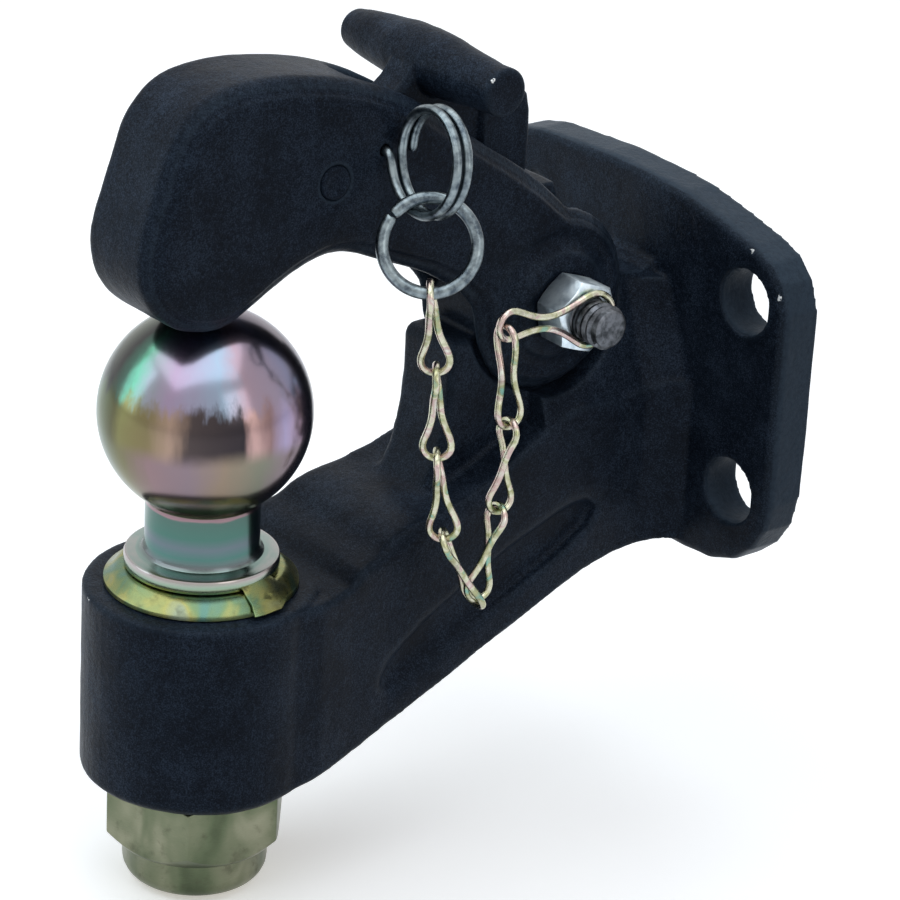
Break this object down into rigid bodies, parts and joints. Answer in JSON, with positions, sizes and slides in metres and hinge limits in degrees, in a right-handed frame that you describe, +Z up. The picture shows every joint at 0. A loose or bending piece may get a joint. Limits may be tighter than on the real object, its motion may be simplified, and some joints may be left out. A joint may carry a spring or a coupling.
{
  "type": "pintle hook",
  "caption": "Combination pintle hook: flanged arm with a tow ball, a pivoting jaw that closes over it, a T-handled latch and a wire safety pin on a short chain.",
  "frame": {"origin": "centre of the four bolt holes, on the mounting face", "axes": "+Y out of the mounting face towards the vehicle, -Y towards the ball, +Z up, +X towards the side with the pivot nut and the chain"},
  "size_m": [0.128, 0.198, 0.2376],
  "materials": {
    "enamel_body": "blue-black enamel, satin, over a forged skin",
    "enamel_jaw": "blue-black enamel, satin, over a forged skin",
    "enamel_latch": "blue-black enamel, satin, over a cast skin",
    "zinc_ball": "polished steel with yellow chromate over zinc",
    "zinc_washer": "yellow chromate over zinc",
    "zinc_nut": "olive-yellow chromate over zinc",
    "nylon": "moulded",
    "bolt_steel": "dark phosphate",
    "nut_zinc": "bright blue-white zinc",
    "pin_steel": "plain steel",
    "spring_steel": "drawn wire",
    "ring_zinc": "zinc on drawn wire",
    "chain_zinc": "yellow zinc on drawn wire"
  },
  "bodies": {
    "hook": {"hook_body": "enamel_body", "tow_ball": "zinc_ball", "ball_seat_washer": "zinc_washer", "ball_nut": "zinc_nut", "ball_nut_insert": "nylon", "pivot_bolt": "bolt_steel", "pivot_nut": "nut_zinc"},
    "jaw": {"jaw": "enamel_jaw", "latch_pin": "pin_steel", "latch_spring": "spring_steel"},
    "latch": {"latch": "enamel_latch"},
    "safety_pin": {"safety_pin": "ring_zinc", "tether_ring": "ring_zinc", "chain_link_1": "chain_zinc", "chain_link_2": "chain_zinc", "chain_link_3": "chain_zinc", "chain_link_4": "chain_zinc", "chain_link_5": "chain_zinc", "chain_link_6": "chain_zinc", "chain_link_7": "chain_zinc", "chain_link_8": "chain_zinc"}
  },
  "joints": [
    {"name": "jaw_pivot", "type": "hinge", "parent": "hook", "child": "jaw", "pos_m": [0, -0.0558, 0.0274], "axis": [-1, 0, 0], "range_deg": [0, 40]},
    {"name": "latch_pivot", "type": "hinge", "parent": "jaw", "child": "latch", "pos_m": [0, -0.1356, 0.0777], "axis": [1, 0, 0], "range_deg": [0, 18], "stiffness_Nm_per_rad": 1.2, "springref_deg": -28.65, "deforming": ["latch_spring"]},
    {"name": "safety_pin_slide", "type": "slide", "parent": "jaw", "child": "safety_pin", "axis": [1, 0, 0], "range_m": [0, 0.042]}
  ]
}
